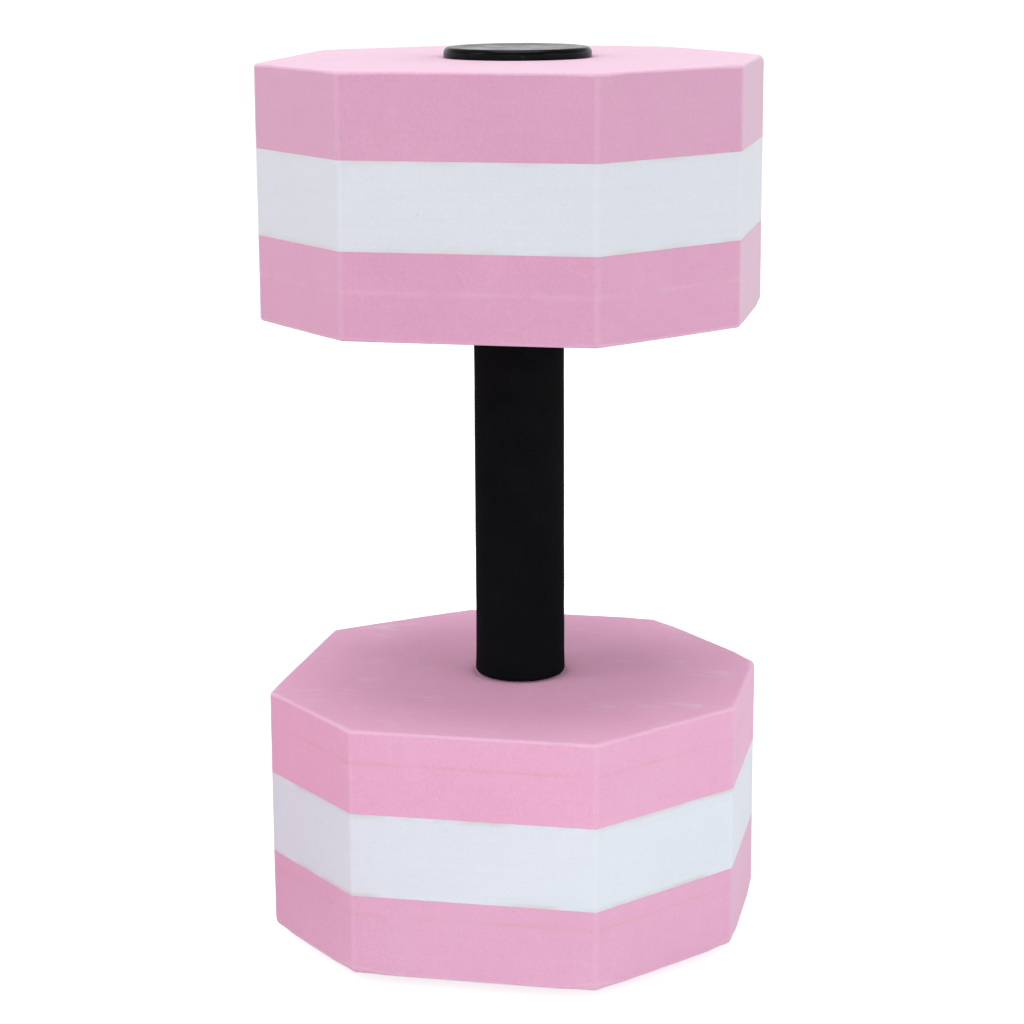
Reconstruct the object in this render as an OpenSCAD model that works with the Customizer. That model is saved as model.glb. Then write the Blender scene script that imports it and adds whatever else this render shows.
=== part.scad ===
// Aquatic dumbbell: two eight-sided foam floats that turn on a tube with a
// foam grip, held by an end cap pushed into each end of the tube.
// It stands on the face of its lower end cap, at z = 0, with the tube along +Z.

/* [Floats] */
// Width of a float from flat to opposite flat
float_w = 150; // [120:1:180]
// Length that each corner cut takes off the front flat
front_cut = 36; // [20:1:55]
// Length that each corner cut takes off the back flat
back_cut = 41; // [20:1:55]
// Length that each corner cut takes off the left flat
left_cut = 36; // [20:1:55]
// Length that each corner cut takes off the right flat
right_cut = 47; // [20:1:55]
// Thickness of the pink slab at the outer end of a float
outer_slab_t = 26; // [18:0.5:35]
// Thickness of the white slab in the middle of a float
centre_slab_t = 27; // [18:0.5:35]
// Thickness of the pink slab on the handle side of a float
inner_slab_t = 27; // [18:0.5:35]

/* [Bonded sheets] */
// Thickness of the sheet of the lower float's outer slab that backs onto the white slab
lower_outer_backing_t = 6; // [3:0.5:12]
// Thickness of the sheet of the lower float's inner slab that backs onto the white slab
lower_inner_backing_t = 16.5; // [3:0.5:20]
// Thickness of the sheet of the upper float's inner slab that backs onto the white slab
upper_inner_backing_t = 12; // [3:0.5:20]

/* [Handle] */
// Clear length between the floats, where the hand goes
hand_gap = 121.5; // [100:0.5:150]
// Outer diameter of the foam grip
grip_d = 29.2; // [26:0.2:36]
// Outer diameter of the tube that runs through both floats
tube_d = 22; // [18:0.5:24]
// Wall thickness of the tube
tube_wall = 2; // [1.5:0.1:3]

/* [End caps] */
// Diameter of an end cap's flange
cap_d = 47; // [36:1:60]
// Thickness of an end cap's flange
cap_t = 3.2; // [2.6:0.1:5]
// Radius of the round on the flange's outer edge
cap_edge_r = 1.8; // [0.5:0.1:2.4]
// Depth of the shallow dish in the flange's face
dish_depth = 0.3; // [0.1:0.1:0.8]
// Width of the flat rim between the dish and the rounded edge
rim_w = 1.2; // [0.6:0.1:3]
// Length of the hollow stem that plugs the tube
stem_len = 22; // [14:1:40]
// Number of barbed rings on the stem
barb_count = 3; // [1:1:4]

/* [Hidden] */

// A float turns on the tube with this gap all round, and with this gap at each end
bore_gap = 0.05;
turn_gap = 0.3;
// The grip and the barbs overlap the tube by this much, because they are forced onto it
press = 0.05;
// The stem clears the tube's bore between its barbs
stem_gap = 0.35;
stem_wall = 1.6;
barb_h = 2.5;
barb_pitch = 5;
cut_through = 1;

float_t = outer_slab_t + centre_slab_t + inner_slab_t;
tube_r = tube_d / 2;
tube_inner_r = tube_r - tube_wall;
cap_r = cap_d / 2;
stem_r = tube_inner_r - stem_gap;
grip_len = hand_gap - 2 * turn_gap;

// Heights of the faces of the two floats, and of the whole object
lower_float_z = cap_t + turn_gap;
lower_centre_z = lower_float_z + outer_slab_t;
lower_inner_z = lower_centre_z + centre_slab_t;
upper_float_z = lower_float_z + float_t + hand_gap;
upper_centre_z = upper_float_z + inner_slab_t;
upper_outer_z = upper_centre_z + centre_slab_t;
total_h = upper_float_z + float_t + turn_gap + cap_t;

PINK = [0.88, 0.67, 0.79];
WHITE = [0.92, 0.93, 0.95];
GRIP_BLACK = [0.10, 0.10, 0.11];
CAP_BLACK = [0.05, 0.05, 0.06];
TUBE_BLACK = [0.16, 0.16, 0.17];

$fn = 96;

// Outline of a float: a square whose four corners are cut off, seen from above,
// from the left end of the front flat and then anticlockwise
module float_outline() {
    h = float_w / 2;
    polygon([
        [-h + front_cut, -h],
        [h - front_cut, -h],
        [h, -h + right_cut],
        [h, h - right_cut],
        [h - back_cut, h],
        [-h + back_cut, h],
        [-h, h - left_cut],
        [-h, -h + left_cut]
    ]);
}

// One sheet of float foam, t thick, with its underside at height z
module foam_sheet(z, t) {
    translate([0, 0, z]) difference() {
        linear_extrude(t) float_outline();
        translate([0, 0, -cut_through]) cylinder(r = tube_r + bore_gap, h = t + 2 * cut_through);
    }
}

// A tube along Z with its lower end at height z
module pipe(z, length, outer_r, inner_r) {
    translate([0, 0, z]) difference() {
        cylinder(r = outer_r, h = length);
        translate([0, 0, -cut_through]) cylinder(r = inner_r, h = length + 2 * cut_through);
    }
}

// Half section of the flange: a quarter circle rounds the outer edge of its face, at y = 0
module flange_section() {
    square([cap_r - cap_edge_r, cap_t]);
    translate([0, cap_edge_r]) square([cap_r, cap_t - cap_edge_r]);
    intersection() {
        translate([cap_r - cap_edge_r, cap_edge_r]) circle(cap_edge_r);
        square([cap_r, cap_edge_r]);
    }
}

// A barb tapers towards the stem's tip, so that it goes in easily and holds
module barb(z) {
    translate([0, 0, z]) cylinder(r1 = tube_inner_r + press, r2 = stem_r, h = barb_h);
}

// An end cap with its face at z = 0 and its stem pointing to +Z
module end_cap() {
    difference() {
        union() {
            rotate_extrude() flange_section();
            cylinder(r = stem_r, h = cap_t + stem_len);
            for (i = [0 : barb_count - 1]) barb(cap_t + barb_pitch / 2 + i * barb_pitch);
        }
        translate([0, 0, cap_t]) cylinder(r = stem_r - stem_wall, h = stem_len + cut_through);
        translate([0, 0, -cut_through])
            cylinder(r = cap_r - cap_edge_r - rim_w, h = cut_through + dish_depth);
    }
}

module core_tube() {
    color(TUBE_BLACK) pipe(cap_t, total_h - 2 * cap_t, tube_r, tube_inner_r);
}

module grip_sleeve() {
    color(GRIP_BLACK)
        pipe(lower_float_z + float_t + turn_gap, grip_len, grip_d / 2, tube_r - press);
}

module lower_end_cap() {
    color(CAP_BLACK) end_cap();
}

module upper_end_cap() {
    color(CAP_BLACK) translate([0, 0, total_h]) mirror([0, 0, 1]) end_cap();
}

module lower_outer_face_sheet() {
    color(PINK) foam_sheet(lower_float_z, outer_slab_t - lower_outer_backing_t);
}

module lower_outer_backing_sheet() {
    color(PINK)
        foam_sheet(lower_centre_z - lower_outer_backing_t, lower_outer_backing_t);
}

module lower_centre_sheet() {
    color(WHITE) foam_sheet(lower_centre_z, centre_slab_t);
}

module lower_inner_backing_sheet() {
    color(PINK) foam_sheet(lower_inner_z, lower_inner_backing_t);
}

module lower_inner_face_sheet() {
    color(PINK)
        foam_sheet(lower_inner_z + lower_inner_backing_t, inner_slab_t - lower_inner_backing_t);
}

module upper_inner_face_sheet() {
    color(PINK) foam_sheet(upper_float_z, inner_slab_t - upper_inner_backing_t);
}

module upper_inner_backing_sheet() {
    color(PINK)
        foam_sheet(upper_centre_z - upper_inner_backing_t, upper_inner_backing_t);
}

module upper_centre_sheet() {
    color(WHITE) foam_sheet(upper_centre_z, centre_slab_t);
}

module upper_outer_sheet() {
    color(PINK) foam_sheet(upper_outer_z, outer_slab_t);
}

core_tube();
grip_sleeve();
lower_end_cap();
upper_end_cap();
lower_outer_face_sheet();
lower_outer_backing_sheet();
lower_centre_sheet();
lower_inner_backing_sheet();
lower_inner_face_sheet();
upper_inner_face_sheet();
upper_inner_backing_sheet();
upper_centre_sheet();
upper_outer_sheet();
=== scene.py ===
import math
from collections import namedtuple

import bpy
from mathutils import Matrix, Vector, geometry, noise


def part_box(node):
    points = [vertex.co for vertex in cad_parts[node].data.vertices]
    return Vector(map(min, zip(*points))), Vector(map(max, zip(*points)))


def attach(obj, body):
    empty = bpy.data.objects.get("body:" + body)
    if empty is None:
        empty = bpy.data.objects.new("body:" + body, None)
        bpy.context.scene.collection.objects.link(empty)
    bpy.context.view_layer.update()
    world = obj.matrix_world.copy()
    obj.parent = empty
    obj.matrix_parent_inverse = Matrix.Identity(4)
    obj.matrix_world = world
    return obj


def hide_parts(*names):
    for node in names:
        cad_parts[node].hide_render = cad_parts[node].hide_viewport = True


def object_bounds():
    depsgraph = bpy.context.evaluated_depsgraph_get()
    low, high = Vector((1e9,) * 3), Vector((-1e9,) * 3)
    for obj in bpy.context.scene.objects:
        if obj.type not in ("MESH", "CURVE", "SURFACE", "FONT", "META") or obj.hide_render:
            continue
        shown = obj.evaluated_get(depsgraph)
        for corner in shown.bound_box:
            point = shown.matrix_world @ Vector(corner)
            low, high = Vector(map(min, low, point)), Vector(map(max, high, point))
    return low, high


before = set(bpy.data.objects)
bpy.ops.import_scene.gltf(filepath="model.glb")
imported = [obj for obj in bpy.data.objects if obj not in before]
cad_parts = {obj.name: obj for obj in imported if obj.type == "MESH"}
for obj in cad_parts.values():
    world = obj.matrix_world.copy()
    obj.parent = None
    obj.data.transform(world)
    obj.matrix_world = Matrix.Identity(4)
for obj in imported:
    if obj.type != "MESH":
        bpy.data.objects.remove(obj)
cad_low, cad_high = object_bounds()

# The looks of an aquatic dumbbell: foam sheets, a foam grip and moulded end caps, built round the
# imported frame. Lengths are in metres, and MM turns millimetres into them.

MM = 0.001

# Sheets of each float, from the lowest up, with the palette that each is made in
FLOATS = {
    "lower_float": {
        "lower_outer_face_sheet": "pink_rose",
        "lower_outer_backing_sheet": "pink_rose",
        "lower_centre_sheet": "white_cool",
        "lower_inner_backing_sheet": "pink_light",
        "lower_inner_face_sheet": "pink_light",
    },
    "upper_float": {
        "upper_inner_face_sheet": "pink_deep",
        "upper_inner_backing_sheet": "pink_deep",
        "upper_centre_sheet": "white_plain",
        "upper_outer_sheet": "pink_dusty",
    },
}


def srgb(red, green, blue):
    """A colour on a 0 to 255 scale, as the linear RGBA that shaders take."""
    shares = (red / 255, green / 255, blue / 255)
    linear = [s / 12.92 if s <= 0.04045 else ((s + 0.055) / 1.055) ** 2.4 for s in shares]
    return (*linear, 1.0)


# The looks of one foam: its colour and the colour that it drifts to in patches, its sheen, how
# strongly glue shows at its bonds, the colour of its worn edges and scuffs, which also paints the
# highlight along its edges and the sheen on the flat on the right, the colour of the glue, and the
# strength of its grain and of its scuffs
Foam = namedtuple("Foam", "base drift sheen glue_share worn glue grain scuff_share")

# PALE_PINK and PALE_WHITE colour scuffs and worn edges, and also the painted highlight and painted
# sheen
PALE_PINK = srgb(252, 222, 238)
PALE_WHITE = srgb(252, 253, 255)
SALMON = srgb(238, 176, 176)
FADED_LINE = srgb(244, 200, 218)
DULL_CREAM = srgb(226, 220, 214)

# What the foams of one kind have in common
LOWER_PINK = {"worn": PALE_PINK, "glue": SALMON, "grain": 1.0, "scuff_share": 0.8}
UPPER_PINK = {"worn": PALE_PINK, "glue": FADED_LINE, "grain": 1.0, "scuff_share": 0.3}
WHITE = {"worn": PALE_WHITE, "glue": DULL_CREAM, "grain": 0.5, "scuff_share": 0.2}

PALETTES = {
    "pink_rose": Foam(srgb(244, 186, 216), srgb(242, 181, 212), 0.25, 0.38, **LOWER_PINK),
    "pink_light": Foam(srgb(250, 188, 219), srgb(248, 183, 216), 0.14, 0.38, **LOWER_PINK),
    "pink_deep": Foam(srgb(235, 173, 204), srgb(232, 167, 200), 0.55, 0.35, **UPPER_PINK),
    "pink_dusty": Foam(srgb(231, 173, 202), srgb(229, 168, 199), 0.50, 0.35, **UPPER_PINK),
    "white_cool": Foam(srgb(240, 247, 253), srgb(237, 245, 253), 0.32, 0.8, **WHITE),
    "white_plain": Foam(srgb(234, 238, 244), srgb(231, 236, 243), 0.55, 0.6, **WHITE),
}


# ---------------------------------------------------------------------------------------------
# Camera
# ---------------------------------------------------------------------------------------------

# The camera's place round the object's axis and above the floor, and the way it looks
EYE_AZIMUTH = math.radians(11.63)
EYE_DISTANCE = 0.859
EYE_HEIGHT = 0.3327
LOOK_YAW = math.radians(11.80)
LOOK_PITCH = math.radians(-12.79)
LOOK_ROLL = math.radians(-0.30)
SENSOR_WIDTH_MM = 36
LENS_MM = 94.33
CLIP_START = 0.01
CLIP_END = 200


def add_camera():
    """A long lens a little to the right of the front and a little above the upper float."""
    data = bpy.data.cameras.new("camera")
    data.sensor_width = SENSOR_WIDTH_MM
    data.lens = LENS_MM
    data.clip_start = CLIP_START
    data.clip_end = CLIP_END
    camera = bpy.data.objects.new("camera", data)
    place = Matrix.Translation((
        EYE_DISTANCE * math.sin(EYE_AZIMUTH),
        -EYE_DISTANCE * math.cos(EYE_AZIMUTH),
        EYE_HEIGHT,
    ))
    yaw = Matrix.Rotation(LOOK_YAW, 4, "Z")
    pitch = Matrix.Rotation(math.pi / 2 + LOOK_PITCH, 4, "X")
    roll = Matrix.Rotation(LOOK_ROLL, 4, "Z")
    camera.matrix_world = place @ yaw @ pitch @ roll
    bpy.context.scene.collection.objects.link(camera)
    bpy.context.scene.camera = camera


# ---------------------------------------------------------------------------------------------
# Mesh helpers
# ---------------------------------------------------------------------------------------------

# A vertex with the two marks that its material reads: a pale mark on exposed edges and corners,
# partly wear and partly painted highlight, which also carries a painted sheen on the flat on the
# right; and glue beside a bond
Point = namedtuple("Point", "place wear glue")


def smoothstep(low, high, value):
    """0 below low, 1 above high, and a smooth step between them."""
    share = min(1.0, max(0.0, (value - low) / (high - low)))
    return share * share * (3 - 2 * share)


def link_mesh(name, vertices, faces):
    """A smooth-shaded object of that name in the scene."""
    mesh = bpy.data.meshes.new(name)
    mesh.from_pydata(vertices, [], faces)
    mesh.polygons.foreach_set("use_smooth", [True] * len(mesh.polygons))
    mesh.update()
    piece = bpy.data.objects.new(name, mesh)
    bpy.context.scene.collection.objects.link(piece)
    return piece


def ring_faces(rings, columns, closed):
    """Quads between neighbouring rings of vertices; closed joins the last ring to the first."""
    last = rings if closed else rings - 1
    faces = []
    for ring in range(last):
        here = ring * columns
        there = (ring + 1) % rings * columns
        for column in range(columns):
            beside = (column + 1) % columns
            faces.append((here + column, here + beside, there + beside, there + column))
    return faces


def smallest_radius(node_name):
    """Distance from Z to the node's nearest vertex, which is its bore's radius."""
    return min(math.hypot(v.co.x, v.co.y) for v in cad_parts[node_name].data.vertices)


def mark_points(piece, name, values):
    """Stores one number per vertex, for the material to read."""
    layer = piece.data.attributes.new(name, "FLOAT", "POINT")
    layer.data.foreach_set("value", values)


def lathe(name, profile, segments, closed, ripple=None):
    """Turns a profile of (radius, height) points about Z.

    A closed profile makes a tube. An open one starts and ends on the axis, where each end point
    becomes a single vertex. ripple(place) adds to the radius.
    """
    turned = profile if closed else profile[1:-1]
    vertices = []
    for radius, height in turned:
        for segment in range(segments):
            angle = math.tau * segment / segments
            direction = Vector((math.cos(angle), math.sin(angle), 0))
            place = direction * radius + Vector((0, 0, height))
            if ripple:
                place += direction * ripple(place)
            vertices.append(place)
    faces = ring_faces(len(turned), segments, closed)
    if not closed:
        first_pole, last_pole = len(vertices), len(vertices) + 1
        vertices += [Vector((0, 0, profile[0][1])), Vector((0, 0, profile[-1][1]))]
        last_ring = (len(turned) - 1) * segments
        for segment in range(segments):
            beside = (segment + 1) % segments
            faces.append((first_pole, beside, segment))
            faces.append((last_pole, last_ring + segment, last_ring + beside))
    return link_mesh(name, vertices, faces)


def arc(centre_r, centre_z, radius, start, end, steps):
    """Profile points on an arc, from the start angle to the end angle in degrees."""
    angles = [math.radians(start + (end - start) * step / steps) for step in range(steps + 1)]
    return [(centre_r + radius * math.cos(a), centre_z + radius * math.sin(a)) for a in angles]


# ---------------------------------------------------------------------------------------------
# Foam sheets
# ---------------------------------------------------------------------------------------------

# A corner in plan: the radius of its arc, what the corners on the eased side add to that, and
# which side that is
CORNER_R = 1.5 * MM
CORNER_EASE = 2.5 * MM
EASED_SIDE = Vector((1, 1)).normalized()
CORNER_STEPS = 6

# Spacing of the points along a flat, and distance of its first and last point from the arcs
POINT_SPACING = 3.0 * MM
SUPPORT = 0.5 * MM

# An outline is read from vertices rounded to this many decimals of a metre, and its corners turn
# by more than this, as a sine
PLAN_DECIMALS = 6
LEAST_TURN = 0.01

# The eased edge where a float's face meets its cut side: its height, how much that varies and over
# what distance, and how much taller it is at the tips of the corners, which fades over TIP_FADE
FILLET_H = 0.75 * MM
FILLET_NOISE = 0.10 * MM
FILLET_WAVE = 9 * MM
FILLET_STEPS = 5
TIP_GROWTH = 0.3 * MM
KNOCKED_TIP_GROWTH = 1.9 * MM
TIP_EASE = 1.7 * MM
TIP_FADE = 12.0 * MM

# An eased edge goes in from the side by at most this share of the corner's radius
INSET_SHARE = 0.9

# Height of the bevel on each side of a bond: two of them make its fine V-shaped joint
BOND_BEVEL = 0.07 * MM

# Rows of points on the cut side: heights of those beside an end, and spacing of the rest
ROW_SUPPORTS = (0.25 * MM, 0.7 * MM, 1.5 * MM)
ROW_SPACING = 3.5 * MM

# Rings of points on a face: their spacing, the parts that a hidden face is cut into, and the
# distance of the last one from the rim
FACE_SPACING = 5.0 * MM
HIDDEN_PARTS = 2
RIM_SUPPORT = 0.6 * MM

# Unevenness of the cut sides and of the faces, as layers of (wavelength, height)
CUT_WOBBLE = ((70 * MM, 0.18 * MM), (7 * MM, 0.05 * MM))
FACE_WOBBLE = ((45 * MM, 0.10 * MM), (6 * MM, 0.03 * MM))
FACE_WOBBLE_REACH = 6 * MM

# The foam stays level under a cap or the grip's end, swells just outside it and settles again
SWELL = 0.35 * MM
SWELL_RISE = (0.1 * MM, 1.5 * MM)
SWELL_FALL = (3 * MM, 14 * MM)
SWELL_STEPS = tuple(step * MM for step in (0.1, 0.5, 1.0, 1.6, 3.0, 5.0, 7.5, 10.5, 14.0))

# Pale marks on the cut sides: along the eased edges and the corners' arcs they are partly wear and
# partly painted highlight, and on the flat on the right they are a painted sheen all over. How far
# they reach from an eased edge and from a corner's arc, their strength at the corners and on the
# flat on the right, and the span of a normal's x that tells that flat from the rest
WEAR_AND_HIGHLIGHT_REACH = 0.25 * MM
CORNER_FADE = 0.4 * MM
CORNER_WEAR_AND_HIGHLIGHT = 0.5
RIGHT_FLAT_SHEEN = 0.8
RIGHT_FLAT = (0.9, 1.0)

# How far glue shows from a bond between two pink sheets, and how far it stains a white one
GLUE_LINE = 1.2 * MM
GLUE_STAIN = 2.0 * MM

# A point on a float's outline in plan: its outward normal, its distance from the nearest corner's
# arc, and how eased that corner is, from 0 to 1
Sample = namedtuple("Sample", "place normal from_corner ease")

# What lies beyond one end of a float: the radius that a cap or the grip covers there, and how much
# taller the eased edge is at the tips of the corners
Beyond = namedtuple("Beyond", "covered_r tip_growth")

# One face of a sheet: its height, the way it looks (-1 down, 1 up), whether it shows, what lies
# beyond it, and how far along the cut side the glue of its bond shows
End = namedtuple("End", "z out shows beyond glue_reach")


def wobble(place, layers):
    """Smooth irregularity at a place in the frame: the sum of layers of (wavelength, height)."""
    return sum(height * noise.noise(place / wavelength) for wavelength, height in layers)


def outline_corners(node):
    """Corners of the node's outline in plan, anticlockwise, with none on a straight edge."""
    vertices = node.data.vertices
    plan = {(round(v.co.x, PLAN_DECIMALS), round(v.co.y, PLAN_DECIMALS)) for v in vertices}
    flat = [Vector(point) for point in sorted(plan)]
    hull = [flat[index] for index in geometry.convex_hull_2d(flat)]
    hull.sort(key=lambda point: math.atan2(point.y, point.x))
    corners = []
    for index, point in enumerate(hull):
        before = (point - hull[index - 1]).normalized()
        after = (hull[(index + 1) % len(hull)] - point).normalized()
        if before.cross(after) > LEAST_TURN:
            corners.append(point)
    return corners


def outward(edge):
    """Unit normal on the right of an edge, which points out of an anticlockwise outline."""
    return Vector((edge.y, -edge.x)).normalized()


def corner_radius(ease):
    """Radius of a corner's arc in plan."""
    return CORNER_R + CORNER_EASE * ease


def corner_arc(before, corner, after):
    """Samples on the arc that rounds a corner; the corners at the back right are the roundest."""
    ease = max(0, corner.normalized().dot(EASED_SIDE)) ** 2
    radius = corner_radius(ease)
    first = outward(corner - before)
    turn = first.angle(outward(after - corner))
    middle = Matrix.Rotation(turn / 2, 2) @ first
    centre = corner - middle * (radius / math.cos(turn / 2))
    samples = []
    for step in range(CORNER_STEPS + 1):
        normal = Matrix.Rotation(turn * step / CORNER_STEPS, 2) @ first
        samples.append(Sample(centre + normal * radius, normal, 0.0, ease))
    return samples


def straight_run(first, last):
    """Samples on the flat between two arcs' end samples, with a support point close to each."""
    length = (last.place - first.place).length
    normal = outward(last.place - first.place)
    between = length - 2 * SUPPORT
    parts = max(1, round(between / POINT_SPACING))
    samples = []
    for part in range(parts + 1):
        distance = SUPPORT + between * part / parts
        nearest = first if distance < length / 2 else last
        from_corner = min(distance, length - distance)
        place = first.place.lerp(last.place, distance / length)
        samples.append(Sample(place, normal, from_corner, nearest.ease))
    return samples


def plan_outline(node):
    """Samples all round the node's outline, anticlockwise."""
    corners = outline_corners(node)
    count = len(corners)
    arcs = [
        corner_arc(corners[index - 1], corners[index], corners[(index + 1) % count])
        for index in range(count)
    ]
    samples = []
    for index, rounded in enumerate(arcs):
        samples += rounded
        samples += straight_run(rounded[-1], arcs[(index + 1) % count][0])
    return samples


def fillet_height(end, sample):
    """How far down the side an end's eased edge reaches: further at the tips where it shows."""
    if not end.shows:
        return BOND_BEVEL
    tip = 1 - smoothstep(0, TIP_FADE, sample.from_corner)
    growth = max(end.beyond.tip_growth, TIP_EASE * sample.ease)
    place = Vector((*sample.place, end.z))
    return FILLET_H + growth * tip + FILLET_NOISE * noise.noise(place / FILLET_WAVE)


def cut_place(sample, z):
    """Place on the cut side at height z, moved along the normal by the cut's wobble."""
    place = Vector((*sample.place, z))
    return place + Vector((*sample.normal, 0)) * wobble(place, CUT_WOBBLE)


def side_marks(sample, z, ends):
    """The pale mark and the glue on the cut side at height z. The pale mark is partly wear and
    partly painted highlight near the eased edges and the corners, and a painted sheen all over the
    flat on the right.
    """
    # pale mark at the corners' arcs: partly wear, partly painted highlight
    wear = CORNER_WEAR_AND_HIGHLIGHT * (1 - smoothstep(0, CORNER_FADE, sample.from_corner))
    # painted sheen all over the flat on the right, carried as a pale mark
    wear = max(wear, RIGHT_FLAT_SHEEN * smoothstep(*RIGHT_FLAT, sample.normal.x))
    glue = 0.0
    for end in ends:
        distance = abs(end.z - z)
        if end.shows:
            start = fillet_height(end, sample)
            # pale band beside a shown eased edge: partly wear, partly painted highlight
            wear = max(wear, 1 - smoothstep(start, start + WEAR_AND_HIGHLIGHT_REACH, distance))
        elif end.glue_reach:
            glue = max(glue, 1 - smoothstep(0, end.glue_reach, distance))
    return wear, glue


def side_rings(outline, low, high):
    """Rings of the cut side between the eased edges of its two ends."""
    height = high.z - low.z - FILLET_H * (low.shows + high.shows)
    near = [support for support in ROW_SUPPORTS if support < height / 3]
    between = height - 2 * near[-1]
    rows = max(1, round(between / ROW_SPACING))
    steps = [0.0, *near]
    steps += [near[-1] + between * row / rows for row in range(1, rows)]
    steps += [height - step for step in reversed([0.0, *near])]
    rings = []
    for step in steps:
        ring = []
        for sample in outline:
            bottom = low.z + fillet_height(low, sample)
            top = high.z - fillet_height(high, sample)
            z = bottom + (top - bottom) * step / height
            ring.append(Point(cut_place(sample, z), *side_marks(sample, z, (low, high))))
        rings.append(ring)
    return rings


def fillet_rings(outline, end):
    """Rings of the eased edge of an end, from the face to just before the side."""
    rings = []
    for step in range(FILLET_STEPS, 0, -1):
        angle = math.pi / 2 * step / FILLET_STEPS
        ring = []
        for sample in outline:
            height = fillet_height(end, sample)
            width = min(height, INSET_SHARE * corner_radius(sample.ease))
            z = end.z - end.out * height * (1 - math.sin(angle))
            inset = Vector((*sample.normal, 0)) * width * (1 - math.cos(angle))
            # a shown eased edge is pale all over: partly wear, partly painted highlight
            wear = 1.0 if end.shows else 0.0
            glue = 1.0 if end.glue_reach else 0.0
            ring.append(Point(cut_place(sample, z) - inset, wear, glue))
        rings.append(ring)
    return rings


def face_height(place, end):
    """Height of the face of an end at a place: swollen round what covers its middle."""
    radius = math.hypot(place.x, place.y)
    beyond = radius - end.beyond.covered_r
    rise = smoothstep(*SWELL_RISE, beyond) * (1 - smoothstep(*SWELL_FALL, beyond))
    ripple = wobble(place, FACE_WOBBLE) * smoothstep(0, FACE_WOBBLE_REACH, beyond)
    return end.z + end.out * (SWELL * rise + ripple)


def face_rings(bore_r, rim, end):
    """Rings of a face, from the bore out to just before the rim, which is its outermost ring."""
    radii = [bore_r]
    if end.shows:
        radii += [(bore_r + end.beyond.covered_r) / 2, end.beyond.covered_r]
        radii += [end.beyond.covered_r + step for step in SWELL_STEPS]
    centre_out = [point.place.xy.normalized() for point in rim]
    rings = []
    for radius in radii:
        rings.append([Vector((*(direction * radius), end.z)) for direction in centre_out])
    inner = rings[-1]
    reach = min((point.place.xy - start.xy).length for point, start in zip(rim, inner))
    parts = max(HIDDEN_PARTS, round(reach / FACE_SPACING)) if end.shows else HIDDEN_PARTS
    for part in range(1, parts):
        rings.append([start.lerp(point.place, part / parts) for point, start in zip(rim, inner)])
    support = RIM_SUPPORT / reach
    rings.append([point.place.lerp(start, support) for point, start in zip(rim, inner)])
    finished = []
    for ring in rings:
        if end.shows:
            ring = [Vector((*place.xy, face_height(place, end))) for place in ring]
        finished.append([Point(place, 0.0, 0.0) for place in ring])
    return finished


def level_rim(ring, end):
    """The innermost ring of a fillet, lifted to the face's own height so that both meet."""
    if not end.shows:
        return ring
    return [
        point._replace(place=Vector((*point.place.xy, face_height(point.place, end))))
        for point in ring
    ]


def foam_sheet(name, low, high):
    """A sheet of float foam with cut sides, eased edges and a bore, from the node of that name."""
    outline = plan_outline(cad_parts[name])
    bore_r = smallest_radius(name)
    low_fillet = fillet_rings(outline, low)
    high_fillet = fillet_rings(outline, high)
    low_fillet[0] = level_rim(low_fillet[0], low)
    high_fillet[0] = level_rim(high_fillet[0], high)
    rings = face_rings(bore_r, low_fillet[0], low) + low_fillet
    rings += side_rings(outline, low, high)
    rings += (face_rings(bore_r, high_fillet[0], high) + high_fillet)[::-1]
    points = [point for ring in rings for point in ring]
    faces = ring_faces(len(rings), len(outline), closed=True)
    piece = link_mesh(name + "_foam", [point.place for point in points], faces)
    # the pale mark: worn edges that are partly painted highlight, and a painted sheen on the right
    # flat
    mark_points(piece, "wear", [point.wear for point in points])
    mark_points(piece, "glue", [point.glue for point in points])
    return piece


# ---------------------------------------------------------------------------------------------
# Handle
# ---------------------------------------------------------------------------------------------

# The grip: its end's round, how much it flares towards a float and over what length, the spacing
# of its rows, and the unevenness of its skin as layers of (wavelength, height)
GRIP_SEGMENTS = 128
GRIP_END_R = 1.6 * MM
GRIP_END_STEPS = 5
GRIP_FLARE = 0.2 * MM
GRIP_FLARE_REACH = 7 * MM
GRIP_ROW = 3 * MM
GRIP_RIPPLE = ((16 * MM, 0.07 * MM), (4 * MM, 0.03 * MM))

# An end cap's flange: the round and the flat rim of its face, and the dish inside the rim with the
# gentle slope down to it
CAP_SEGMENTS = 192
CAP_EDGE_R = 1.8 * MM
CAP_EDGE_STEPS = 10
CAP_RIM = 1.2 * MM
CAP_RIM_SUPPORT = 0.2 * MM
CAP_DISH = 0.3 * MM
CAP_DISH_SLOPE = 4.5 * MM
CAP_DISH_STEPS = 8
CAP_INNER_BEVEL = 0.2 * MM

# Its stem: the gap round it in the tube, its wall, the round at its root, the bevels at its tip
# and in its bore, and its barbs
STEM_GAP = 0.35 * MM
STEM_WALL = 1.6 * MM
STEM_ROOT_R = 0.6 * MM
STEM_TIP_BEVEL = 0.3 * MM
STEM_BORE_BEVEL = 0.2 * MM
STEM_FLOOR_BEVEL = 0.3 * MM
SMALL_ARC_STEPS = 3
BARB_COUNT = 3
BARB_PITCH = 5 * MM
BARB_H = 2.5 * MM
BARB_RISE = 0.4 * MM


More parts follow.
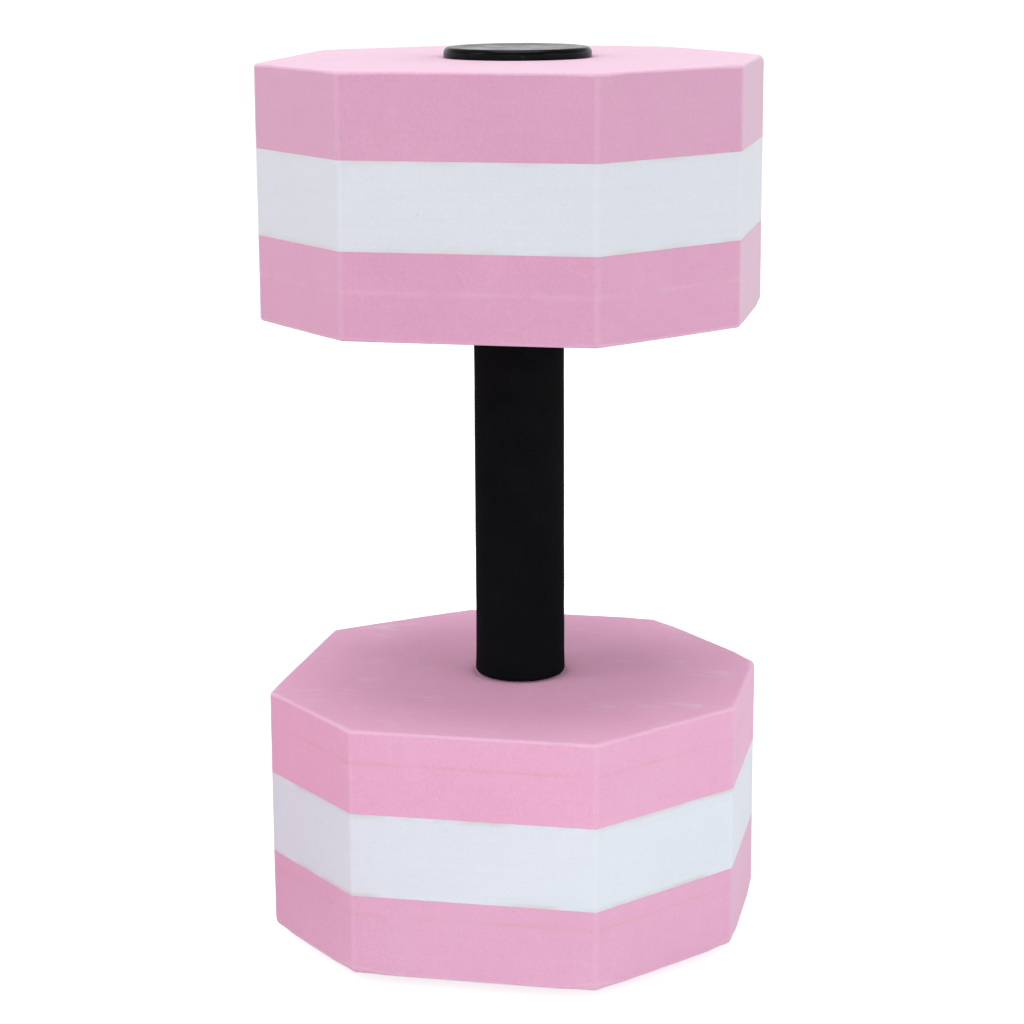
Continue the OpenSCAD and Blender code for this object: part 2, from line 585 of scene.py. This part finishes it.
def grip_piece():
    """The foam grip: a tube with eased ends that flare a little where they meet the floats."""
    name = "grip_sleeve"
    low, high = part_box(name)
    outer_r = high[0]
    bore_r = smallest_radius(name)
    rows = round((high[2] - low[2] - 2 * GRIP_END_R) / GRIP_ROW)
    side_low = low[2] + GRIP_END_R
    side_high = high[2] - GRIP_END_R
    corner_r = outer_r - GRIP_END_R
    profile = [(bore_r, low[2])]
    profile += arc(corner_r, side_low, GRIP_END_R, -90, 0, GRIP_END_STEPS)
    profile += [
        (outer_r, side_low + (side_high - side_low) * row / rows) for row in range(1, rows)
    ]
    profile += arc(corner_r, side_high, GRIP_END_R, 0, 90, GRIP_END_STEPS)
    profile += [(bore_r, high[2])]

    def ripple(place):
        """Unevenness of the outer skin, and the flare at each end."""
        if place.xy.length < corner_r - MM:
            return 0.0
        from_end = min(place.z - low[2], high[2] - place.z)
        flare = GRIP_FLARE * (1 - smoothstep(0, GRIP_FLARE_REACH, from_end))
        return flare + wobble(place, GRIP_RIPPLE)

    return lathe(name + "_foam", profile, GRIP_SEGMENTS, closed=True, ripple=ripple)


def barb_profile(stem_r, first_z):
    """Profile points of the barbed rings on a stem, tapered towards its tip."""
    points = []
    for index in range(BARB_COUNT):
        z = first_z + index * BARB_PITCH
        points += [(stem_r, z), (stem_r + BARB_RISE, z), (stem_r, z + BARB_H)]
    return points


def flange_profile(cap_r, flange_t):
    """Half section of an end cap's flange, from the middle of its face to its inner side."""
    rim_r = cap_r - CAP_EDGE_R
    slope_r = rim_r - CAP_RIM - CAP_DISH_SLOPE
    profile = [(slope_r * step / CAP_DISH_STEPS, CAP_DISH) for step in range(CAP_DISH_STEPS)]
    for step in range(CAP_DISH_STEPS + 1):
        share = step / CAP_DISH_STEPS
        z = CAP_DISH * (1 - smoothstep(0, 1, share))
        profile.append((slope_r + CAP_DISH_SLOPE * share, z))
    profile += [(rim_r - CAP_RIM_SUPPORT, 0)]
    profile += arc(rim_r, CAP_EDGE_R, CAP_EDGE_R, -90, 0, CAP_EDGE_STEPS)
    profile += [(cap_r, flange_t - 2 * CAP_INNER_BEVEL)]
    bevel_r = cap_r - CAP_INNER_BEVEL
    bevel_z = flange_t - CAP_INNER_BEVEL
    profile += arc(bevel_r, bevel_z, CAP_INNER_BEVEL, 0, 90, SMALL_ARC_STEPS)
    profile += [(cap_r - 2 * CAP_INNER_BEVEL, flange_t)]
    return profile


def stem_profile(stem_r, root_z, stem_z):
    """Half section of a hollow barbed stem, from its root outside to its floor inside."""
    bore_r = stem_r - STEM_WALL
    foot_r = stem_r + STEM_ROOT_R
    profile = arc(foot_r, root_z + STEM_ROOT_R, STEM_ROOT_R, 270, 180, SMALL_ARC_STEPS)
    profile += barb_profile(stem_r, root_z + BARB_PITCH / 2)
    profile += [(stem_r, stem_z - STEM_TIP_BEVEL), (stem_r - STEM_TIP_BEVEL, stem_z)]
    profile += [(bore_r + STEM_BORE_BEVEL, stem_z), (bore_r, stem_z - STEM_BORE_BEVEL)]
    profile += [(bore_r, root_z + STEM_FLOOR_BEVEL), (bore_r - STEM_FLOOR_BEVEL, root_z)]
    profile += [(0, root_z)]
    return profile


def cap_piece(name, flange_t, upside_down):
    """A moulded end cap: dished flange with a rounded edge, and a hollow barbed stem."""
    low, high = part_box(name)
    stem_r = smallest_radius("core_tube") - STEM_GAP
    profile = flange_profile(high[0], flange_t)
    profile += stem_profile(stem_r, flange_t, high[2] - low[2])
    if upside_down:
        profile = [(radius, high[2] - z) for radius, z in profile][::-1]
    return lathe(name + "_moulding", profile, CAP_SEGMENTS, closed=False)


# ---------------------------------------------------------------------------------------------
# Materials
# ---------------------------------------------------------------------------------------------


class Graph:
    """A node tree under construction. Most methods add a node and return its output."""

    def __init__(self, tree):
        self.tree = tree

    def add(self, kind, inputs=None, **settings):
        """A new node with its settings, and its inputs linked or set."""
        node = self.tree.nodes.new(kind)
        for key, value in settings.items():
            setattr(node, key, value)
        for key, value in (inputs or {}).items():
            self.feed(node.inputs[key], value)
        return node

    def feed(self, socket, value):
        """Links an output to the socket, or sets the socket to a plain value."""
        if isinstance(value, bpy.types.NodeSocket):
            self.tree.links.new(value, socket)
        else:
            socket.default_value = value

    def remap(self, value, low, high, to_low=0.0, to_high=1.0, **settings):
        """value taken from low..high to to_low..to_high, clamped."""
        values = {
            "Value": value,
            "From Min": low,
            "From Max": high,
            "To Min": to_low,
            "To Max": to_high,
        }
        return self.add("ShaderNodeMapRange", values, **settings).outputs["Result"]

    def maths(self, operation, first, second=0.0):
        """A maths node on one or two values."""
        return self.add("ShaderNodeMath", {0: first, 1: second}, operation=operation).outputs[0]

    def product(self, first, second):
        """Two values multiplied."""
        return self.maths("MULTIPLY", first, second)

    def seen(self):
        """1 for what the camera sees directly, and 0 for what only lights or reflects."""
        return self.add("ShaderNodeLightPath").outputs["Is Camera Ray"]


class Shader(Graph):
    """A Principled material under construction."""

    def __init__(self, name, **fixed):
        self.material = bpy.data.materials.new(name)
        self.material.use_nodes = True
        super().__init__(self.material.node_tree)
        self.surface = self.tree.nodes["Principled BSDF"]
        coordinates = self.add("ShaderNodeTexCoord")
        self.position = coordinates.outputs["Object"]
        self.normal = coordinates.outputs["Normal"]
        for socket, value in fixed.items():
            self.surface.inputs[socket.replace("_", " ")].default_value = value

    def noise(self, size, detail=2.0, rough=0.5, place=None, distortion=0.0):
        """Soft noise, mostly in NOISE_SPAN, with features of that size."""
        values = {
            "Vector": place or self.position,
            "Scale": 1 / size,
            "Detail": detail,
            "Roughness": rough,
            "Distortion": distortion,
        }
        return self.add("ShaderNodeTexNoise", values).outputs["Fac"]

    def streaks(self, sizes, **settings):
        """Soft noise whose features have a different size along each axis."""
        scale = {"Vector": self.position, "Scale": sizes}
        place = self.add("ShaderNodeMapping", scale, vector_type="TEXTURE").outputs["Vector"]
        return self.noise(1.0, place=place, **settings)

    def cells(self, size, output="Distance"):
        """Voronoi cells of that size."""
        values = {"Vector": self.position, "Scale": 1 / size}
        return self.add("ShaderNodeTexVoronoi", values).outputs[output]

    def varied(self, noise_value, spread):
        """A grey close to white that the noise takes above and below it by up to that spread."""
        return self.remap(noise_value, *WIDE_NOISE_SPAN, 1 - spread, 1 + spread)

    def mix(self, share, first, second, blend="MIX"):
        """first turned into second by share, or blended with it."""
        node = self.add("ShaderNodeMix", data_type="RGBA", blend_type=blend, clamp_factor=True)
        self.feed(node.inputs[0], share)
        self.feed(node.inputs[6], first)
        self.feed(node.inputs[7], second)
        return node.outputs[2]

    def tinted(self, colour, tint):
        """The colour multiplied by a tint that is close to white."""
        return self.mix(1.0, colour, tint, "MULTIPLY")

    def mark(self, name):
        """A number stored on the mesh's vertices."""
        return self.add("ShaderNodeAttribute", attribute_name=name).outputs["Fac"]

    def bump(self, height, depth, below=None):
        """A normal that shows the height, 0 to 1, as relief of that depth in metres."""
        values = {"Height": height, "Distance": depth, "Strength": 1.0}
        if below:
            values["Normal"] = below
        return self.add("ShaderNodeBump", values).outputs["Normal"]

    def finish(self, colour, roughness, normal):
        """Feeds the surface and returns the material."""
        self.feed(self.surface.inputs["Base Color"], colour)
        self.feed(self.surface.inputs["Roughness"], roughness)
        self.feed(self.surface.inputs["Normal"], normal)
        return self.material


PLAIN = (1.0, 1.0, 1.0, 1.0)

# Where the values of soft noise mostly lie, and where almost all of them do
NOISE_SPAN = (0.3, 0.7)
WIDE_NOISE_SPAN = (0.25, 0.75)

# Bare foam: the size and the strength of each of its layers
FOAM_SPECULAR = 0.40
FOAM_ROUGHNESS = (0.72, 0.92)
MOTTLE = 38 * MM
MOTTLE_SPAN = (0.32, 0.68)
BLOTCH = 3.5 * MM
BLOTCH_SPREAD = 0.014
GRAIN = 0.55 * MM
GRAIN_SPREAD = 0.07
GRAIN_DEPTH = 0.02 * MM
CELL = 0.8 * MM
CELL_MIDDLE = 0.35
CELL_SHARE = 0.08
CELL_DEPTH = 0.025 * MM
LUMP = 5 * MM
LUMP_DEPTH = 0.02 * MM
CUT_STREAK = (50 * MM, 50 * MM, 1.1 * MM)
CUT_SPREAD = 0.013

# A surface counts as level where its normal's z passes through this span
LEVEL_SPAN = (0.75, 0.95)

# Marks on foam: the patches that glue comes and goes in, the patches and the strength of the pale
# mark (worn edges that are partly painted highlight, and a painted sheen on the right flat),
# scuffs in patches, and specks in some cells of a coarse grid
GLUE_PATCH = 14 * MM
GLUE_SPAN = (0.35, 0.62)
PALE_PATCH = 1.6 * MM
PALE_PATCH_SPAN = (0.3, 0.6)
LEAST_PALE_PATCH = 0.65
WEAR_AND_HIGHLIGHT_SHARE = 0.32
SCUFF = (20 * MM, 8 * MM, 20 * MM)
SCUFF_BEND = 1.4
SCUFF_SPAN = (0.52, 0.76)
SCUFF_PATCH = 16 * MM
SCUFF_PATCH_SPAN = (0.48, 0.62)
SPECK_SPACING = 7 * MM
SPECK_SPAN = (0.0175, 0.035)
SPECK_COLOUR = srgb(120, 98, 104)
SPECK_SHARE = 0.45
CHOSEN_CELLS = 0.80


def foam_grain(shader, foam, on_side):
    """The colour of bare foam: drift, blotches, fine grain, cells and streaks on the cut sides."""
    mottle = shader.remap(shader.noise(MOTTLE, detail=4.0, rough=0.6), *MOTTLE_SPAN)
    colour = shader.mix(mottle, foam.base, foam.drift)
    blotch = shader.noise(BLOTCH, detail=3.0, rough=0.6)
    colour = shader.tinted(colour, shader.varied(blotch, BLOTCH_SPREAD * foam.grain))
    grain = shader.noise(GRAIN, rough=0.7)
    colour = shader.tinted(colour, shader.varied(grain, GRAIN_SPREAD * foam.grain))
    pits = shader.remap(shader.cells(CELL), 0.0, CELL_MIDDLE, CELL_SHARE * foam.grain, 0.0)
    colour = shader.mix(pits, colour, foam.drift, "MULTIPLY")
    streak = shader.streaks(CUT_STREAK, detail=3.0, rough=0.65)
    cut = shader.mix(on_side, PLAIN, shader.varied(streak, CUT_SPREAD))
    return shader.tinted(colour, cut), grain


def glue_marks(shader, colour, foam):
    """Adds the glue that shows beside a bond, in patches."""
    patchy = shader.remap(shader.noise(GLUE_PATCH), *GLUE_SPAN)
    glue = shader.product(shader.mark("glue"), patchy)
    return shader.mix(shader.product(glue, foam.glue_share), colour, foam.glue)


def wear_and_highlight_marks(shader, colour, foam):
    """Adds the pale mark in patches: worn foam at the edges that is partly painted highlight, and
    a painted sheen on the flat on the right.
    """
    pale_patches = shader.remap(shader.noise(PALE_PATCH, detail=3.0), *PALE_PATCH_SPAN, LEAST_PALE_PATCH, 1.0)
    wear = shader.product(shader.mark("wear"), pale_patches)
    return shader.mix(shader.product(wear, WEAR_AND_HIGHLIGHT_SHARE), colour, foam.worn)


def scuff_marks(shader, colour, foam, on_face):
    """Adds pale scuffs to the level faces, in patches."""
    smear = shader.streaks(SCUFF, detail=4.0, rough=0.6, distortion=SCUFF_BEND)
    scuff = shader.product(shader.remap(smear, *SCUFF_SPAN), on_face)
    patch = shader.remap(shader.noise(SCUFF_PATCH), *SCUFF_PATCH_SPAN)
    scuff = shader.product(scuff, patch)
    return shader.mix(shader.product(scuff, foam.scuff_share), colour, foam.worn)


def speck_marks(shader, colour):
    """Adds a small dark speck in the middle of a few cells."""
    near = shader.remap(shader.cells(SPECK_SPACING), *SPECK_SPAN, 1.0, 0.0)
    cell = {"Color": shader.cells(SPECK_SPACING, output="Color")}
    chosen = shader.add("ShaderNodeSeparateColor", cell).outputs["Red"]
    speck = shader.product(near, shader.maths("GREATER_THAN", chosen, CHOSEN_CELLS))
    return shader.mix(shader.product(speck, SPECK_SHARE), colour, SPECK_COLOUR)


def foam_material(name, foam):
    """Closed-cell EVA foam: fine cells, drifting colour, cut streaks, glue, pale edges that are
    partly wear and partly painted highlight, a painted sheen on the right flat, and scuffs.
    """
    shader = Shader(name + "_foam", Specular_IOR_Level=FOAM_SPECULAR, Sheen_Weight=foam.sheen)
    axes = shader.add("ShaderNodeSeparateXYZ", {"Vector": shader.normal}).outputs
    on_face = shader.remap(shader.maths("ABSOLUTE", axes["Z"]), *LEVEL_SPAN)
    on_side = shader.maths("SUBTRACT", 1.0, on_face)
    colour, grain = foam_grain(shader, foam, on_side)
    colour = glue_marks(shader, colour, foam)
    colour = wear_and_highlight_marks(shader, colour, foam)
    colour = scuff_marks(shader, colour, foam, on_face)
    colour = speck_marks(shader, colour)
    roughness = shader.remap(grain, *NOISE_SPAN, *FOAM_ROUGHNESS)
    relief = shader.bump(shader.noise(LUMP), LUMP_DEPTH)
    relief = shader.bump(shader.cells(CELL), CELL_DEPTH, relief)
    relief = shader.bump(grain, GRAIN_DEPTH, relief)
    return shader.finish(colour, roughness, relief)


# The looks of a black part: its colour and the colour that it drifts to, the size of that drift,
# the colour of its lines or rubbed spots, their size along each axis, the span of the noise that
# they show at and how strongly they show, its specular level and its span of roughness
Black = namedtuple(
    "Black", "base drift mottle lines line_sizes line_span line_share specular roughness")

GRIP_BLACK = Black(
    base=srgb(15, 16, 17),
    drift=srgb(19, 20, 21),
    mottle=12 * MM,
    lines=srgb(26, 26, 27),
    line_sizes=(0.8 * MM, 0.8 * MM, 60 * MM),
    line_span=(0.55, 0.75),
    line_share=0.25,
    specular=0.03,
    roughness=(0.75, 0.95),
)
CAP_BLACK = Black(
    base=srgb(6, 6, 7),
    drift=srgb(11, 11, 12),
    mottle=9 * MM,
    lines=srgb(70, 70, 73),
    line_sizes=(12 * MM, 0.9 * MM, 2 * MM),
    line_span=(0.62, 0.72),
    line_share=0.25,
    specular=0.08,
    roughness=(0.17, 0.26),
)
TUBE_BLACK = Black(
    base=srgb(34, 34, 36),
    drift=srgb(44, 44, 46),
    mottle=15 * MM,
    lines=srgb(66, 66, 69),
    line_sizes=(0.6 * MM, 0.6 * MM, 80 * MM),
    line_span=(0.5, 0.8),
    line_share=0.4,
    specular=0.45,
    roughness=(0.42, 0.58),
)

# Fine detail of the black parts: the size and the depth of each kind
GRIP_LINE_DEPTH = 0.05 * MM
GRIP_PORE = 0.7 * MM
GRIP_PORE_DEPTH = 0.05 * MM
GRIP_GRAIN = 0.5 * MM
GRIP_GRAIN_DEPTH = 0.03 * MM
CAP_SMUDGE = 7 * MM
CAP_TEXTURE = 0.35 * MM
CAP_TEXTURE_DEPTH = 0.006 * MM
TUBE_SMUDGE = 3 * MM
TUBE_LINE_DEPTH = 0.02 * MM


def black_shader(name, black, **line_settings):
    """A shader for a black part, its colour, and the noise that its lines follow."""
    shader = Shader(name, Specular_IOR_Level=black.specular)
    mottle = shader.remap(shader.noise(black.mottle, detail=3.0), *NOISE_SPAN)
    colour = shader.mix(mottle, black.base, black.drift)
    lines = shader.streaks(black.line_sizes, **line_settings)
    share = shader.remap(lines, *black.line_span, 0.0, black.line_share)
    return shader, shader.mix(share, colour, black.lines), lines


def grip_material():
    """Black foam with a smooth skin: fine pores and faint draw lines along its length."""
    shader, colour, lines = black_shader("black_grip_foam", GRIP_BLACK, detail=3.0, rough=0.6)
    grain = shader.noise(GRIP_GRAIN, rough=0.7)
    roughness = shader.remap(grain, *NOISE_SPAN, *GRIP_BLACK.roughness)
    relief = shader.bump(lines, GRIP_LINE_DEPTH)
    relief = shader.bump(shader.cells(GRIP_PORE), GRIP_PORE_DEPTH, relief)
    relief = shader.bump(grain, GRIP_GRAIN_DEPTH, relief)
    return shader.finish(colour, roughness, relief)


def cap_material():
    """Moulded black plastic, semi-gloss, with a fine texture and rubbed high spots."""
    shader, colour, _ = black_shader("black_cap_plastic", CAP_BLACK, detail=4.0, rough=0.7)
    smudge = shader.noise(CAP_SMUDGE, detail=3.0)
    roughness = shader.remap(smudge, *NOISE_SPAN, *CAP_BLACK.roughness)
    relief = shader.bump(shader.noise(CAP_TEXTURE, rough=0.6), CAP_TEXTURE_DEPTH)
    return shader.finish(colour, roughness, relief)


def tube_material():
    """Extruded black plastic, satin, with faint die lines along its length."""
    shader, colour, lines = black_shader("black_tube_plastic", TUBE_BLACK, detail=3.0)
    smudge = shader.noise(TUBE_SMUDGE, detail=3.0)
    roughness = shader.remap(smudge, *NOISE_SPAN, *TUBE_BLACK.roughness)
    return shader.finish(colour, roughness, shader.bump(lines, TUBE_LINE_DEPTH))


# ---------------------------------------------------------------------------------------------
# Assembly
# ---------------------------------------------------------------------------------------------


def dress(piece, node_name, body, material):
    """Gives a piece its material and the body that it moves with, and hides the node that it
    replaces.
    """
    piece.data.materials.append(material)
    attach(piece, body)
    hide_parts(node_name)


def glue_reach(palette, neighbour):
    """How far glue shows from the bond between a sheet and its neighbour."""
    if palette.startswith("white"):
        return GLUE_STAIN
    return GLUE_LINE if neighbour.startswith("pink") else 0.0


def sheet_ends(names, palettes, index, beyond):
    """The lower and the upper End of one sheet in a float's stack."""
    low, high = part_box(names[index])
    ends = []
    for z, out in ((low[2], -1), (high[2], 1)):
        beside = index + out
        shows = not 0 <= beside < len(names)
        reach = 0.0 if shows else glue_reach(palettes[index], palettes[beside])
        ends.append(End(z, out, shows, beyond[out > 0], reach))
    return ends


def add_floats(materials):
    """Both floats, sheet by sheet. The tips nearest the floor are knocked blunt."""
    under_cap = Beyond(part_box("lower_end_cap")[1][0], TIP_GROWTH)
    under_grip = Beyond(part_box("grip_sleeve")[1][0], TIP_GROWTH)
    near_floor = under_cap._replace(tip_growth=KNOCKED_TIP_GROWTH)
    beyond = {"lower_float": (near_floor, under_grip), "upper_float": (under_grip, under_cap)}
    for body, sheets in FLOATS.items():
        names = list(sheets)
        palettes = list(sheets.values())
        for index, name in enumerate(names):
            piece = foam_sheet(name, *sheet_ends(names, palettes, index, beyond[body]))
            dress(piece, name, body, materials[palettes[index]])


def add_handle():
    """The grip, both end caps and the tube between them."""
    grip = grip_piece()
    dress(grip, "grip_sleeve", "handle", grip_material())
    tube_low, tube_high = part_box("core_tube")
    plastic = cap_material()
    lower = cap_piece("lower_end_cap", tube_low[2] - cad_low[2], upside_down=False)
    upper = cap_piece("upper_end_cap", cad_high[2] - tube_high[2], upside_down=True)
    dress(lower, "lower_end_cap", "handle", plastic)
    dress(upper, "upper_end_cap", "handle", plastic)
    tube = tube_material()
    for tube_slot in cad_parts["core_tube"].material_slots:
        tube_slot.material = tube


# ---------------------------------------------------------------------------------------------
# Stage
# ---------------------------------------------------------------------------------------------

FLOOR_SIZE = 80.0
FLOOR_COLOUR = (0.80, 0.80, 0.80, 1.0)
FLOOR_GLOW = 0.74

# A round dark pink card on the floor, left of the object and in front of it, that the camera
# doesn't see: it darkens the left of the lower float, and tints it a little. Its edge fades over
# CARD_SPAN, which is measured from its centre
CARD_CENTRE = (-0.26, -0.12, 0.0)
CARD_SPAN = (0.15, 0.25)
CARD_COLOUR = (0.40, 0.09, 0.18, 1.0)

# Brightness of the sky dome near the horizon at the back, the front and the right, of the dome
# higher up, and of what the camera sees of it
SKY_BACK = 1.0
SKY_FRONT = 1.6
SKY_RIGHT = 1.7
SKY_HIGH = 0.40
SKY_SEEN = 1.05
SKY_TINT = (0.98, 0.99, 1.03, 1.0)

# Spans of a direction's x and z over which the dome turns to its right part and to its high part
SKY_RIGHT_SPAN = (0.3, 1)
SKY_HIGH_SPAN = (0.18, 0.42)

# A softbox: azimuth and elevation in degrees, distance from the object's middle, diameter, power
Softbox = namedtuple("Softbox", "azimuth elevation distance size power")

SOFTBOXES = {
    "overhead_softbox": Softbox(0, 90, 1.15, 0.8, 6.2),
    "front_softbox": Softbox(0, 24, 1.6, 0.7, 1.4),
    "left_softbox": Softbox(-60, 40, 1.6, 0.7, 3.2),
    "right_softbox": Softbox(70, 30, 1.6, 0.7, 1.6),
}


def floor_material():
    """Pale matt paper that glows a little to the camera only, so that it reads as plain white."""
    shader = Shader("pale_floor", Roughness=1.0, Specular_IOR_Level=0.0, Emission_Color=PLAIN)
    seen = shader.seen()
    ends = {0: shader.position, 1: CARD_CENTRE}
    reach = shader.add("ShaderNodeVectorMath", ends, operation="DISTANCE").outputs["Value"]
    bare = shader.maths("MAXIMUM", shader.remap(reach, *CARD_SPAN), seen)
    colour = shader.mix(bare, CARD_COLOUR, FLOOR_COLOUR)
    shader.feed(shader.surface.inputs["Base Color"], colour)
    glow = shader.product(seen, FLOOR_GLOW)
    shader.feed(shader.surface.inputs["Emission Strength"], glow)
    return shader.material


def add_floor():
    """A wide pale floor under the object."""
    half = FLOOR_SIZE / 2
    z = cad_low[2]
    corners = [(-half, -half, z), (half, -half, z), (half, half, z), (-half, half, z)]
    floor = link_mesh("floor", corners, [(0, 1, 2, 3)])
    floor.data.materials.append(floor_material())


def add_softbox(name, box):
    """A round soft light that faces the object's middle."""
    turn, rise = math.radians(box.azimuth), math.radians(box.elevation)
    away = Vector((
        math.sin(turn) * math.cos(rise),
        -math.cos(turn) * math.cos(rise),
        math.sin(rise),
    ))
    light = bpy.data.lights.new(name, "AREA")
    light.shape = "DISK"
    light.size = box.size
    light.energy = box.power
    lamp = bpy.data.objects.new(name, light)
    lamp.location = (cad_low + cad_high) / 2 + away * box.distance
    lamp.rotation_euler = away.to_track_quat("Z", "Y").to_euler()
    bpy.context.scene.collection.objects.link(lamp)


def add_sky():
    """A plain studio dome: bright round the horizon, dimmer above, and plain white to look at."""
    world = bpy.data.worlds.new("studio")
    world.use_nodes = True
    bpy.context.scene.world = world
    graph = Graph(world.node_tree)
    smooth = {"interpolation_type": "SMOOTHSTEP"}
    direction = graph.add("ShaderNodeTexCoord").outputs["Generated"]
    axes = graph.add("ShaderNodeSeparateXYZ", {"Vector": direction}).outputs
    horizon = graph.remap(axes["Y"], -1, 1, SKY_FRONT, SKY_BACK, **smooth)
    horizon = graph.remap(axes["X"], *SKY_RIGHT_SPAN, horizon, SKY_RIGHT, **smooth)
    level = graph.remap(axes["Z"], *SKY_HIGH_SPAN, horizon, SKY_HIGH, **smooth)
    shown = graph.remap(graph.seen(), 0, 1, level, SKY_SEEN)
    background = world.node_tree.nodes["Background"]
    graph.feed(background.inputs["Strength"], shown)
    graph.feed(background.inputs["Color"], SKY_TINT)


add_camera()
bpy.context.scene.view_settings.view_transform = "Standard"

add_floats({name: foam_material(name, foam) for name, foam in PALETTES.items()})
add_handle()
add_floor()
for softbox_name, softbox in SOFTBOXES.items():
    add_softbox(softbox_name, softbox)
add_sky()
